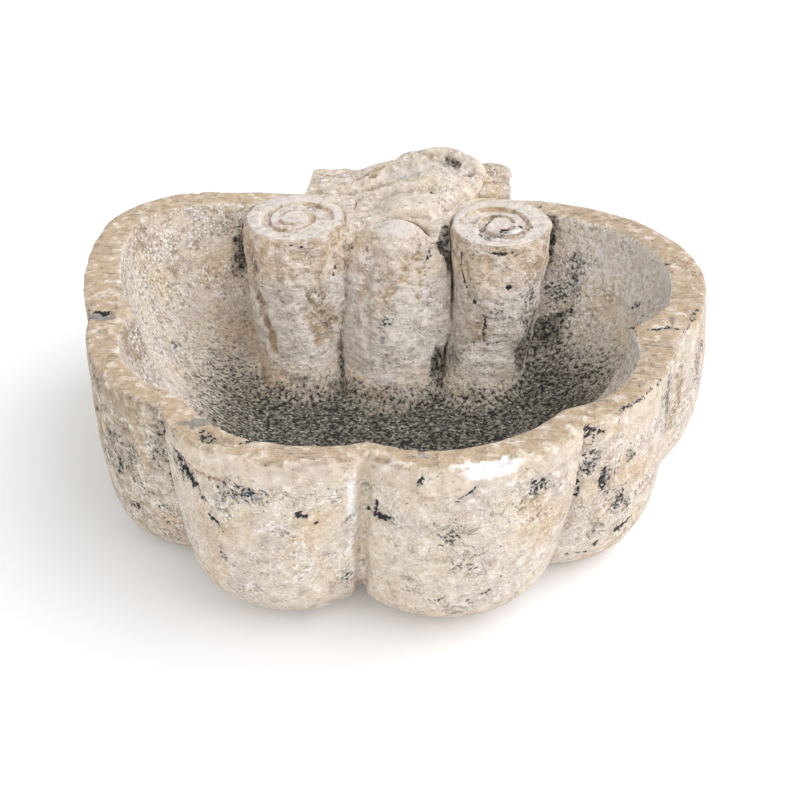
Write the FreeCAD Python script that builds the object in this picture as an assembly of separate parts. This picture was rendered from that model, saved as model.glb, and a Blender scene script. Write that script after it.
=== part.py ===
"""Holy water stoup: a lobed shell bowl cut in stone, with two scrolls and a rib that run down from the
middle of its back wall, and a tail block behind it that is built into the church wall and carries a carved
crest.

Millimetres, +Z up. The bowl's front faces -Y, and the church wall is behind it, towards +Y. The origin is
the middle of the plan, on the surface that the bowl stands on. A setback is measured from the wall face
forwards.
"""
import FreeCAD
import Part
import math
import os

from FreeCAD import Rotation, Vector

# ---- Shell bowl: overall sizes
shell_width = 376.0        # across the rim at its widest
rim_height = 118.0         # from the base to the flat rim
floor_height = 30.0        # from the base to the bowl's floor
left_corner_radius = 66.0  # back corners of the plan, which the carver left uneven
right_corner_radius = 108.0
back_dressing = 0.5        # what is dressed off the back to lie flat on the wall
centre_setback = 120.0     # the shell's centre, which the reaches below start from

# ---- Shell bowl: grooves and the lobes between them
lobe_pitch = 34.75         # degrees from one groove to the next
centre_groove_reach = 180.0
front_groove_reach = 181.0
side_groove_reach = 174.0
front_lobe_reach = 195.0
side_lobe_reach = 182.5

# ---- Shell bowl: outside of the wall, below the rim
base_round = 42.0          # height over which the wall turns under to the base
front_tuck = 43.0          # how far it turns in at the front lobes
side_tuck = 27.0           # how far it turns in at the sides
groove_sink = 9.5          # how much deeper the grooves are at that height than at the rim
groove_tuck = 6.0          # how much further than the lobes they turn in below it
belly = 1.5                # how far the wall swells between the rim and that height

# ---- Shell bowl: thickness of the wall at the rim
side_wall = 21.0
back_wall = 22.0
centre_groove_wall = 11.0
front_groove_wall = 17.0
side_groove_wall = 26.0
front_lobe_wall = 17.0
side_lobe_wall = 15.5

# ---- Shell bowl: the hollow, and the web that fills it behind the scrolls and the rib
focus_setback = 172.0      # the point that the hollow narrows towards
floor_share = 0.36         # the floor's size as a share of the hollow's mouth
steepness = 1.8            # higher keeps the hollow's wall steep for longer
web_setback = 42.0         # the web's face at the rim
web_foot_setback = 106.0   # the web's face at its foot
web_round = 6.0            # worn edge of the web at the rim

# ---- Scrolls: rolls turned about an axis that leans back, with a volute cut in each top
scroll_radius = 32.5       # at the top, square to the axis
scroll_waist_radius = 30.5
scroll_foot_radius = 22.5
scroll_spacing = 134.0     # between the centres of the two tops
scroll_foot_spacing = 114.0
scroll_setback = 41.0      # the top's centre
scroll_foot_setback = 98.0
scroll_rise = 1.5          # how far the tops stand above the rim
scroll_round = 3.0         # worn edge of the top
foot_depth = 4.0           # how far scrolls and rib are let into the floor
volute_setback = 46.0      # the volute's centre
volute_depth = 3.0
volute_stretch = 1.2       # longer from front to back than across, as the top cuts the roll aslant
trough_outer = (26.0, 18.5, 14.0, 9.5, 6.0)          # reach of its trough's outer border at each half turn
trough_inner = (16.0, 15.5, 11.5, 7.5, 4.5)          # and of its inner border, which is the coil's edge

# ---- Rib between the scrolls, turned in the same way, and closed by a ball at its crown
rib_crown_radius = 26.0
rib_waist_radius = 28.5
rib_foot_radius = 22.0
rib_foot_setback = 105.0
rib_crown_setback = 46.0
rib_crown_height = 96.0

# ---- Tail block, with a tongue that is keyed through the bowl's back wall into the web
block_width = 140.0
block_offset = 4.0         # how far its middle lies to the right
block_length = 45.0        # behind the wall face
block_height = 88.0
block_round = 4.0          # worn edges of its back and its shoulder
shoulder_width = 22.0      # the raised right-hand end
shoulder_rise = 5.0
tongue_width = 58.0
tongue_height = 46.0
tongue_length = 26.0       # in front of the wall face

# ---- Crest: a carved mound bedded on the block, the rim and the web, from its toe back to its rear end
crest_length = 78.0
crest_rear_margin = 3.0    # from its rear end to the block's back face
crest_peak_offset = 20.0   # how far its peak lies to the right
crest_stations = (0.0, 0.27, 0.54, 0.81, 1.0)        # shares of its length from the toe
crest_widths = (50.0, 76.0, 110.0, 118.0, 106.0)
crest_heights = (4.0, 7.0, 11.0, 18.0, 12.0)

# ---- Heights and stations that follow from the sizes above
foot_height = floor_height - foot_depth
CLEAR = 6.0                # how far a cutting solid runs past what it cuts
TURN_DEGREES = (0.0, 22.5, 45.0, 67.5, 90.0)         # stations round base_round
SWELL_STATIONS = (0.25, 0.5, 0.75, 1.0)              # shares of the height from there to the rim
HOLLOW_STATIONS = (0.0, 0.25, 0.48, 0.68, 0.84, 0.95, 1.0)  # shares of the hollow's depth


def arc(start, middle, end):
    return Part.Arc(start, middle, end).toShape()


def from_centre(degrees, reach):
    """The offset to the right and the setback of a point at an angle from straight ahead of the centre."""
    turn = math.radians(degrees)
    return reach * math.sin(turn), centre_setback + reach * math.cos(turn)


def front_setback():
    """How far the swelling front lobes reach from the wall face."""
    reaches = (centre_groove_reach, front_lobe_reach, front_groove_reach)
    lobe = [Vector(*from_centre(lobe_pitch * i / 2, reach + belly), 0) for i, reach in enumerate(reaches)]
    circle = arc(*lobe).Curve
    return circle.Center.y + circle.Radius


wall_y = (front_setback() - block_length) / 2        # the origin is midway from front to back


def at(x, setback, z):
    return Vector(x, wall_y - setback, z)


def polar(degrees, reach, z):
    return at(*from_centre(degrees, reach), z)


def mirrored(point):
    return Vector(-point.x, point.y, point.z)


def half_outline(z, half_width, back_setback, corner, groove_reaches, lobe_reaches):
    """The right half of an outline at height z, as arcs through three points: a round back corner, a side
    lobe and the lobes between the grooves. The reaches run from the front's centre line to the side.
    """
    back = at(half_width - corner, back_setback, z)
    widest = at(half_width, back_setback + corner, z)
    diagonal = corner * (1 - math.sqrt(0.5))
    corner_middle = at(half_width - diagonal, back_setback + diagonal, z)
    grooves = [polar(lobe_pitch * i, reach, z) for i, reach in enumerate(groove_reaches)]
    lobes = [polar(lobe_pitch * (i + 0.5), reach, z) for i, reach in enumerate(lobe_reaches)]

    # the side lobe leaves its widest point straight forwards and ends in the last groove
    across = widest.x - grooves[-1].x
    along = widest.y - grooves[-1].y
    radius = (across ** 2 + along ** 2) / (2 * across)
    half_sweep = math.asin(along / radius) / 2
    side_middle = widest - Vector(radius * (1 - math.cos(half_sweep)), radius * math.sin(half_sweep), 0)

    half = [(back, corner_middle, widest), (widest, side_middle, grooves[-1])]
    return half + [(grooves[i + 1], lobes[i], grooves[i]) for i in reversed(range(len(lobes)))]


def plan_wire(z, half_width, back_setback, inset, groove_reaches, lobe_reaches):
    """A whole lobed outline with a straight back. Its back corners are set in from the shell's own."""
    right, left = [half_outline(z, half_width, back_setback, corner - inset, groove_reaches, lobe_reaches)
                   for corner in (right_corner_radius, left_corner_radius)]
    left = [tuple(mirrored(point) for point in reversed(points)) for points in reversed(left)]
    edges = [arc(*points) for points in right + left]
    return Part.Wire(edges + [Part.makeLine(left[-1][-1], right[0][0])])


def outer_wire(z, front_inset, side_inset, groove_inset):
    """The outside of the shell at height z, set in from the rim's outline. Its back is still undressed."""
    front_inset_there = front_inset + groove_inset
    grooves = (centre_groove_reach - front_inset_there, front_groove_reach - front_inset_there,
               side_groove_reach - side_inset - groove_inset)
    lobes = (front_lobe_reach - front_inset, side_lobe_reach - side_inset)
    return plan_wire(z, shell_width / 2 - side_inset, -back_dressing, 0, grooves, lobes)


def shell_outside():
    wires = []
    for degrees in TURN_DEGREES:
        z = base_round * (1 - math.cos(math.radians(degrees)))
        share = 1 - math.sin(math.radians(degrees))
        wires.append(outer_wire(z, front_tuck * share, side_tuck * share, groove_sink + groove_tuck * share))
    for station in SWELL_STATIONS:
        z = base_round + (rim_height - base_round) * station
        swell = belly * math.sin(math.pi * station)
        wires.append(outer_wire(z, -swell, -swell, groove_sink * (1 - station)))
    behind_wall = Part.makeBox(shell_width * 2, CLEAR, rim_height * 2, at(-shell_width, 0, -CLEAR))
    return Part.makeLoft(wires, True, False).cut(behind_wall)


def shell_hollow():
    """The hollow, as a solid: the rim's inner outline, which narrows towards its focus down to the floor."""
    grooves = (centre_groove_reach - centre_groove_wall, front_groove_reach - front_groove_wall,
               side_groove_reach - side_groove_wall)
    lobes = (front_lobe_reach - front_lobe_wall, side_lobe_reach - side_lobe_wall)
    mouth = plan_wire(0, shell_width / 2 - side_wall, back_wall, side_wall, grooves, lobes)
    focus = at(0, focus_setback, 0)
    wires = [mouth.translated(Vector(0, 0, rim_height + back_wall))]
    for station in HOLLOW_STATIONS:
        scale = floor_share + (1 - floor_share) * math.sqrt(1 - station ** steepness)
        narrowing = FreeCAD.Matrix()
        narrowing.move(-focus)
        narrowing.scale(scale, scale, 1)
        narrowing.move(focus + Vector(0, 0, rim_height - (rim_height - floor_height) * station))
        wires.append(mouth.transformGeometry(narrowing))
    return Part.makeLoft(wires, True, False).cut(web())


def web():
    """What is left standing between the scrolls and behind the rib. Its sides end inside the scrolls."""
    def level(z, half_width, setback):
        corners = [at(-half_width, 0, z), at(-half_width, setback, z), at(half_width, setback, z),
                   at(half_width, 0, z)]
        return Part.makePolygon(corners + corners[:1])

    foot = level(foot_height, (scroll_foot_spacing - scroll_foot_radius) / 2, web_foot_setback)
    head = level(rim_height, (scroll_spacing - scroll_radius) / 2, web_setback)
    body = Part.makeLoft([foot, head], True, True)
    edge = [e for e in body.Edges if e.CenterOfMass.isEqual(at(0, web_setback, rim_height), web_round)]
    return body.makeFillet(web_round, edge)


def bulge(length, foot_radius, waist_radius, head_radius):
    """The circle that a roll's side follows, with the roll's radius as x and the place on its axis as z."""
    return arc(Vector(foot_radius, 0, 0), Vector(waist_radius, 0, length / 2),
               Vector(head_radius, 0, length)).Curve


def turned(foot, head, *radii):
    """A roll turned about the line from foot to head, and carried on past both by as much as its radius.
    The radii are those at its foot, its waist and its head.
    """
    length = (head - foot).Length
    circle = bulge(length, *radii)

    def side(z):
        return Vector(circle.Center.x + math.sqrt(circle.Radius ** 2 - (z - circle.Center.z) ** 2), 0, z)

    low = -radii[0]
    high = length + radii[-1]
    ends = Part.makePolygon([side(high), Vector(0, 0, high), Vector(0, 0, low), side(low)]).Edges
    outline = Part.Wire([arc(side(low), side(length / 2), side(high)), *ends])
    body = Part.Face(outline).revolve(Vector(), Vector(0, 0, 1), 360)
    body.Placement = FreeCAD.Placement(foot, Rotation(Vector(0, 0, 1), head - foot))
    return body


def layer(low, high):
    """Everything between two heights."""
    size = shell_width * 2
    return Part.makeBox(size, size, high - low, Vector(-size / 2, -size / 2, low))


def roll(side, top):
    """The plain roll of a scroll, cut off level at a height. Side is 1 on the right and -1 on the left."""
    foot = at(side * scroll_foot_spacing / 2, scroll_foot_setback, foot_height)
    head = at(side * scroll_spacing / 2, scroll_setback, rim_height)
    body = turned(foot, head, scroll_foot_radius, scroll_waist_radius, scroll_radius)
    return body.common(layer(foot_height, top))


def scroll(side):
    top = rim_height + scroll_rise
    body = roll(side, top)
    worn = [edge for edge in body.Edges if edge.BoundBox.ZMin > top - scroll_round]
    return body.makeFillet(scroll_round, worn).cut(volute(side))


def volute(side):
    """The volute's trough, as a solid. It starts beside the rib and winds in by half circles, over the back
    first, and narrows on its way.
    """
    borders = []
    for reaches in (trough_outer, trough_inner):
        spots = [Vector(-side * reach * (-1) ** i, 0, 0) for i, reach in enumerate(reaches)]
        for i, (start, end) in enumerate(zip(spots, spots[1:])):
            rise = Vector(0, (start - end).Length / 2 * (-1) ** i, 0)
            borders.append(arc(start, (start + end) / 2 + rise, end))
    ends = [Part.makeLine(Vector(-side * trough_outer[0], 0, 0), Vector(-side * trough_inner[0], 0, 0)),
            Part.makeLine(borders[len(trough_outer) - 2].Vertexes[-1].Point, borders[-1].Vertexes[-1].Point)]
    face = Part.Face(Part.Wire(Part.__sortEdges__(borders + ends)))
    trough = face.extrude(Vector(0, 0, volute_depth + CLEAR))
    stretched = FreeCAD.Matrix()
    stretched.scale(1, volute_stretch, 1)
    stretched.move(at(side * scroll_spacing / 2, volute_setback, rim_height + scroll_rise - volute_depth))
    return trough.transformGeometry(stretched)


def centre_rib():
    """The rib's roll, closed by the ball that carries its side on smoothly."""
    foot = at(0, rib_foot_setback, foot_height)
    crown = at(0, rib_crown_setback, rib_crown_height)
    length = (crown - foot).Length
    along = (crown - foot) / length
    radii = (rib_foot_radius, rib_waist_radius, rib_crown_radius)
    circle = bulge(length, *radii)
    share = rib_crown_radius / (rib_crown_radius - circle.Center.x)
    ball = Part.makeSphere(circle.Radius * share, crown - along * ((length - circle.Center.z) * share))
    past_crown = Part.makeCylinder(rib_waist_radius * 2, rib_waist_radius * 2, crown, along)
    body = turned(foot, crown, *radii).cut(past_crown)
    return body.fuse(ball).common(layer(foot_height, rim_height * 2)).removeSplitter()


def tail_block():
    """The block behind the wall face, with its raised right-hand end and the tongue that keys it in."""
    left = block_offset - block_width / 2
    right = block_offset + block_width / 2
    block = Part.makeBox(block_width, block_length, block_height, at(left, 0, rim_height - block_height))
    shoulder = Part.makeBox(shoulder_width, block_length, shoulder_rise,
                            at(right - shoulder_width, 0, rim_height))
    block = block.fuse(shoulder).removeSplitter()
    near_back = wall_y + block_length - block_round
    worn = [edge for edge in block.Edges
            if edge.BoundBox.ZMin > rim_height or edge.BoundBox.YMin > near_back]
    block = block.makeFillet(block_round, worn)
    tongue = Part.makeBox(tongue_width, tongue_length, tongue_height,
                          at(-tongue_width / 2, tongue_length, rim_height - tongue_height))
    return block.fuse(tongue).removeSplitter()


def crest_profile(setback, width, height, peak_offset):
    """A level bed line with a rounded back over it, in a plane that faces the front. The back climbs slowly
    from the left to its peak, and drops steeply on the right.
    """
    left = at(-width / 2, setback, rim_height)
    right = at(width / 2, setback, rim_height)
    to_peak = peak_offset + width / 2
    past_peak = width / 2 - peak_offset
    poles = [left, left + Vector(to_peak * 0.4, 0, height * 0.15), left + Vector(to_peak * 0.75, 0, height),
             right + Vector(-past_peak * 0.65, 0, height * 1.25), right + Vector(0, 0, height * 0.7), right]
    back = Part.BSplineCurve()
    back.buildFromPoles(poles, False, 3)
    return Part.Wire([back.toShape(), Part.makeLine(right, left)])


def crest():
    toe_setback = crest_length + crest_rear_margin - block_length
    profiles = [crest_profile(toe_setback - crest_length * station, width, height,
                              crest_peak_offset * min(1, station * 2))
                for station, width, height in zip(crest_stations, crest_widths, crest_heights)]
    return Part.makeLoft(profiles, True, False)


def without(shape, others):
    for other in others:
        shape = shape.cut(other)
    return shape


def main():
    rib = centre_rib()
    seats = [roll(-1, rim_height + CLEAR), roll(1, rim_height + CLEAR), rib]
    block = tail_block().cut(rib)
    parts = {"shell_bowl": without(shell_outside().cut(shell_hollow()), [*seats, block]),
             "scroll_left": scroll(-1), "scroll_right": scroll(1), "centre_rib": rib,
             "tail_block": block, "crest": without(crest(), [*seats, block])}
    os.makedirs("parts", exist_ok=True)
    for name, shape in parts.items():
        shape.exportStep(f"parts/{name}.step")
        print(name, len(shape.Solids), shape.isValid(), round(shape.Volume / 1000, 1), "cm3")


main()
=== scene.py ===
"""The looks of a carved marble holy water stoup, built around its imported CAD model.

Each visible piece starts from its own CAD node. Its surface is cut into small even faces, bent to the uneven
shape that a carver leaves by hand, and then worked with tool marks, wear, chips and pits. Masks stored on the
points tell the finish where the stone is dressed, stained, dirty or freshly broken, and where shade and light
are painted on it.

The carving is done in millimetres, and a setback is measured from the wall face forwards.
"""

import logging
import math
from dataclasses import dataclass, field
from enum import Enum
from functools import partial

import bpy
import numpy as np
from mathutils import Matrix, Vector
from mathutils.bvhtree import BVHTree


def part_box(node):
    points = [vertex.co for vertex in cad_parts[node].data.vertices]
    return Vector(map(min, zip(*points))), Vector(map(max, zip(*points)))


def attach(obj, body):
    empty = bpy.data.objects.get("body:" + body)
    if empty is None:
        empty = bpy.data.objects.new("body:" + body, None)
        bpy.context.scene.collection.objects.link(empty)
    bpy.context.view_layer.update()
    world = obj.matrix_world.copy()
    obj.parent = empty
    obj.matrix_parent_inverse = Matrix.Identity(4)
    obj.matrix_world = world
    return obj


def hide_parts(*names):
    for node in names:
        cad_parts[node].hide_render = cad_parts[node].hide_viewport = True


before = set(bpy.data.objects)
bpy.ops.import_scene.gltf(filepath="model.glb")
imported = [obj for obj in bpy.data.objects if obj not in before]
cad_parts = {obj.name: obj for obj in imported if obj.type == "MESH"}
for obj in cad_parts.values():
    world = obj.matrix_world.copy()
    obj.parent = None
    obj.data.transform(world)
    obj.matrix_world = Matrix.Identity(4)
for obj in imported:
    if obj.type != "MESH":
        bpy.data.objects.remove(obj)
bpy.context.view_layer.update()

log = logging.getLogger("stoup")

MM = 0.001
ROOT = "root"
BOWL = "shell_bowl"
WALL_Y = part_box(BOWL)[1].y / MM      # the wall face that setbacks start from
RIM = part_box(BOWL)[1].z / MM         # the height of the rim
SQUARE_ON = (0.05, 0.4)              # how squarely a surface faces a plane where marks set in and are whole
FINEST_TEAR = 2.5                    # how short the waves of a mark's ragged border get

# a turn of the noise's grid, so that its rows show along no edge of the piece
TILT, LEAN = math.radians(31), math.radians(17)
GRID_TURN = (
    np.array([[math.cos(TILT), -math.sin(TILT), 0], [math.sin(TILT), math.cos(TILT), 0], [0, 0, 1]])
    @ np.array([[1, 0, 0], [0, math.cos(LEAN), -math.sin(LEAN)], [0, math.sin(LEAN), math.cos(LEAN)]])
)


def ramp(value: np.ndarray, low: float, high: float) -> np.ndarray:
    """Returns 0 before low, 1 past high and a smooth rise between them. High may be the smaller one."""
    share = np.clip((value - low) / (high - low), 0.0, 1.0)
    return share * share * (3.0 - 2.0 * share)


def bell(value: np.ndarray, middle: float, reach: float) -> np.ndarray:
    """Returns 1 at the middle, which falls smoothly to 0 at a reach on both sides."""
    return ramp(np.abs(value - middle), reach, 0.0)


def scatter(lattice: np.ndarray, seed: int) -> np.ndarray:
    """Gives each whole-numbered place a fixed random value.

    Args:
        lattice: whole numbers, three for each place.
        seed: another seed gives other values.

    Returns:
        One value between 0 and 1 for each place.
    """
    primes = np.array((73856093, 19349663, 83492791), dtype=np.int64)
    mixed = (lattice.astype(np.int64) * primes).sum(axis=-1) + seed * 40503
    mixed = (mixed ^ (mixed >> 13)) * 1274126177
    mixed = (mixed ^ (mixed >> 16)) & 0xFFFF
    return mixed / 0xFFFF


def grain(points: np.ndarray, size: float | tuple[float, float, float], seed: int,
          octaves: int = 2) -> np.ndarray:
    """Makes smooth random lumps.

    Args:
        points: places in millimetres.
        size: the size of a lump in millimetres, or its sizes along x, y and z, which keeps it unturned.
        seed: another seed gives other lumps.
        octaves: how many layers are added, each with lumps half the size and height of the last.

    Returns:
        One value for each point, from about -1 to 1.
    """
    total = np.zeros(len(points))
    turned = points @ GRID_TURN if np.isscalar(size) else points
    for octave in range(octaves):
        cell = turned / np.asarray(size) * 2**octave + seed * 7.3
        base = np.floor(cell)
        share = cell - base
        share = share * share * (3.0 - 2.0 * share)
        for corner in np.ndindex(2, 2, 2):
            weight = np.prod(np.where(corner, share, 1.0 - share), axis=1)
            total += weight * (scatter(base + corner, seed + octave) * 2.0 - 1.0) * 0.5**octave
    return total


def cells(points: np.ndarray, size: float, seed: int) -> np.ndarray:
    """Makes a pattern of blows, one for each of many scattered places.

    Args:
        points: places in millimetres.
        size: how far apart the blows lie, in millimetres.
        seed: another seed gives another pattern.

    Returns:
        How far the nearest blow is from each point, as a share of the size.
    """
    cell = points @ GRID_TURN / size
    base = np.floor(cell)
    nearest = np.full(len(points), 9.0)
    for step in np.ndindex(3, 3, 3):
        home = base + np.array(step) - 1
        jitter = np.stack([scatter(home, seed + axis) for axis in range(3)], axis=1)
        nearest = np.minimum(nearest, np.linalg.norm(home + jitter - cell, axis=1))
    return nearest


class Plane(Enum):
    """The two directions in which a mark or a stroke is drawn, as columns of x, setback and z."""

    PLAN = (0, 1)
    FRONT = (0, 2)
    SIDE = (1, 2)


class Tone(Enum):
    """What a worked spot looks like, named by the mask that the finish reads."""

    PLAIN = None
    # dirt, and painted shade in creases, crevices and the gaps between parts
    GRIME = "grime"
    DRESSED = "dressed"     # cut with the claw chisel
    SUGAR = "sugar"         # with its crystals bare
    # dark spots in chips, and painted shade along grooves and in crevices
    DARK = "dark"
    SLATE = "slate"
    # fresh breaks, and painted light: highlights on lit edges and a lightened shaded wall
    FRESH = "fresh"
    RUST = "rust"
    SPECKS = "specks"
    SMOOTH = "smooth"
    PATINA = "patina"
    ASHEN = "ashen"


MASKS = [tone.value for tone in Tone if tone.value]


@dataclass
class Surface:
    """The points of a piece that is being carved, in millimetres, with the masks that its finish reads."""

    mesh: bpy.types.Mesh
    points: np.ndarray = field(init=False)
    normals: np.ndarray = field(init=False)
    links: np.ndarray = field(init=False)
    masks: dict[str, np.ndarray] = field(init=False)

    def __post_init__(self) -> None:
        """Reads the points, what joins them and the way they face."""
        count = len(self.mesh.vertices)
        flat = np.empty(count * 3)
        self.mesh.vertices.foreach_get("co", flat)
        self.points = flat.reshape(-1, 3) / MM
        pairs = np.empty(len(self.mesh.edges) * 2, dtype=np.int32)
        self.mesh.edges.foreach_get("vertices", pairs)
        self.links = pairs.reshape(-1, 2)
        self.masks = {name: np.zeros(count) for name in MASKS}
        self.refresh()

    def refresh(self) -> None:
        """Writes the points back to the mesh and reads the normals that they now have."""
        self.mesh.vertices.foreach_set("co", (self.points * MM).ravel())
        self.mesh.update()
        flat = np.empty(len(self.points) * 3, dtype=np.float32)
        self.mesh.vertex_normals.foreach_get("vector", flat)
        self.normals = flat.reshape(-1, 3).astype(float)

    @property
    def places(self) -> np.ndarray:
        """The points as x, setback and z."""
        return np.stack([self.points[:, 0], WALL_Y - self.points[:, 1], self.points[:, 2]], axis=1)

    def facing(self, plane: Plane) -> np.ndarray:
        """Tells where the surface faces a plane (the front plane from the front): 1 there, 0 elsewhere."""
        right, back, up = self.normals.T
        return ramp({Plane.PLAN: up, Plane.FRONT: -back, Plane.SIDE: np.abs(right)}[plane], *SQUARE_ON)

    def averaged(self, values: np.ndarray) -> np.ndarray:
        """Averages each point's neighbours.

        Args:
            values: one value or several for each point.

        Returns:
            The mean of the neighbours' values for each point, in the same form.
        """
        first, second = self.links.T
        count = np.bincount(self.links.ravel(), minlength=len(self.points))
        size = len(values)
        sums = [np.bincount(first, column[second], size) + np.bincount(second, column[first], size)
                for column in values.reshape(size, -1).T]
        return (np.stack(sums, axis=1) / np.maximum(count, 1)[:, None]).reshape(values.shape)

    def relax(self, weight: np.ndarray | float, passes: int) -> None:
        """Rubs the surface down.

        Args:
            weight: how far each point moves towards the mean of its neighbours, as a share of the way.
            passes: how many times it moves.
        """
        for _ in range(passes):
            self.points += (self.averaged(self.points) - self.points) * np.reshape(weight, (-1, 1))
        self.refresh()

    def patches(self, size: float, seed: int, low: float, high: float) -> np.ndarray:
        """Returns random patches of a size in millimetres: 1 where the lumps pass high, and 0 below low."""
        return ramp(grain(self.points, size, seed), low, high)

    def bulging(self, passes: int = 2) -> np.ndarray:
        """Tells edges from creases.

        Args:
            passes: how many times the values are evened out among neighbours.

        Returns:
            How far each point stands out from its neighbours in millimetres, which is negative in creases.
        """
        value = ((self.points - self.averaged(self.points)) * self.normals).sum(axis=1)
        for _ in range(passes):
            value = (value + self.averaged(value)) / 2
        return value

    def push(self, height: np.ndarray) -> None:
        """Moves the points along their normals by a height, inwards where it is negative."""
        self.points += self.normals * height[:, None]
        self.refresh()

    def shift(self, offset: np.ndarray) -> None:
        """Moves each point by its own offset, given as x, y and z."""
        self.points += offset
        self.refresh()

    def tone(self, name: str, amount: np.ndarray) -> None:
        """Deepens a mask where the amount is more than it holds already."""
        self.masks[name] = np.maximum(self.masks[name], amount)

    def store(self) -> None:
        """Writes the masks to the mesh for the finish to read."""
        for name, mask in self.masks.items():
            layer = self.mesh.attributes.new(name, "FLOAT", "POINT")
            layer.data.foreach_set("value", np.clip(mask, 0.0, 1.0).astype(np.float32))


@dataclass(frozen=True)
class Mark:
    """A chip, pit, bump or patch on the stone.

    The place is x, setback and z. The mark is as long as length along its lean, an angle in the plane that it
    is drawn in, and as wide as width across it. It shows where the surface faces that plane and lies within
    its sight. A negative depth stands proud.
    """

    place: tuple[float, float, float]
    length: float
    width: float
    depth: float = 0.0
    lean: float = 0.0
    strength: float = 1.0            # of the tone
    plane: Plane = Plane.FRONT
    tone: Tone = Tone.DARK
    raggedness: float = 0.45
    softness: float = 0.6            # how wide the border is, as a share of the mark
    border: float = 0.85             # where its middle runs, as a share of the mark
    sight: float = 14.0

    def cut(self, surface: Surface) -> None:
        """Cuts the mark and tones it.

        Args:
            surface: the surface that it is cut into.
        """
        offset = surface.places - np.array(self.place)
        first, second = self.plane.value
        turn = math.radians(self.lean)
        along = offset[:, first] * math.cos(turn) + offset[:, second] * math.sin(turn)
        across = offset[:, second] * math.cos(turn) - offset[:, first] * math.sin(turn)
        reach = np.hypot(along / (self.length / 2), across / (self.width / 2))
        aside = np.abs(offset[:, 3 - first - second])
        near = (reach < 2.5) & (aside < self.sight)
        share = np.zeros(len(reach))
        ragged = grain(surface.points[near], max(self.width * 0.5, FINEST_TEAR), 5) * self.raggedness
        outer, inner = self.border + self.softness / 2, self.border - self.softness / 2
        share[near] = ramp(reach[near] + ragged, outer, inner)
        share *= surface.facing(self.plane) * ramp(aside, self.sight, 0.7 * self.sight)
        if self.depth:
            surface.push(-self.depth * share)
        if self.tone.value:
            surface.tone(self.tone.value, share * self.strength)


@dataclass(frozen=True)
class Stroke:
    """A ridge or a groove that follows a line on the stone.

    The route is drawn in a plane, and the stroke is cut where the surface faces that plane (its front, for
    the front plane) and the third coordinate is inside the span. Width is from edge to edge, and a negative
    height is a groove.
    """

    route: tuple[tuple[float, float], ...]
    width: float
    height: float
    plane: Plane = Plane.PLAN
    span: tuple[float, float] = (-400.0, 400.0)
    tone: Tone = Tone.PLAIN
    strength: float = 1.0
    raggedness: float = 0.2
    tear: float = 6.0                # how long the waves of its ragged border are

    def cut(self, surface: Surface) -> None:
        """Works the stroke and tones it.

        Args:
            surface: the surface that it is worked into.
        """
        places = surface.places
        spots = places[:, self.plane.value]
        route = np.array(self.route, dtype=float)
        nearest = np.full(len(spots), np.inf)
        for start, end in zip(route[:-1], route[1:]):
            run = end - start
            share = np.clip(((spots - start) @ run) / (run @ run), 0.0, 1.0)
            nearest = np.minimum(nearest, np.linalg.norm(spots - start - share[:, None] * run, axis=1))
        third = places[:, 3 - sum(self.plane.value)]
        inside = (third > self.span[0]) & (third < self.span[1])
        near = nearest < self.width
        nearest[near] += self.raggedness * self.width * grain(surface.points[near], self.tear, 6)
        share = ramp(nearest, self.width / 2, 0.0) * surface.facing(self.plane) * inside
        if self.height:
            surface.push(self.height * share)
        if self.tone.value:
            surface.tone(self.tone.value, share * self.strength)


def linear(colour: str) -> tuple[float, float, float, float]:
    """Turns an sRGB hex colour such as #D8C8B0 to linear red, green, blue and alpha."""
    parts = [int(colour[i : i + 2], 16) / 255 for i in (1, 3, 5)]
    return (*[part / 12.92 if part <= 0.04045 else ((part + 0.055) / 1.055) ** 2.4 for part in parts], 1.0)


def add_node(tree: bpy.types.NodeTree, kind: str, inputs: dict | None = None, **settings) -> bpy.types.Node:
    """Adds a node with its settings and links.

    Args:
        tree: the node tree that it goes in.
        kind: the node's type.
        inputs: for each input's name or number, the socket that feeds it or its value.
        settings: the node's own properties.

    Returns:
        The new node.
    """
    node = tree.nodes.new(kind)
    for name, value in settings.items():
        setattr(node, name, value)
    for name, value in (inputs or {}).items():
        if isinstance(value, bpy.types.NodeSocket):
            tree.links.new(value, node.inputs[name])
        else:
            node.inputs[name].default_value = value
    return node


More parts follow.
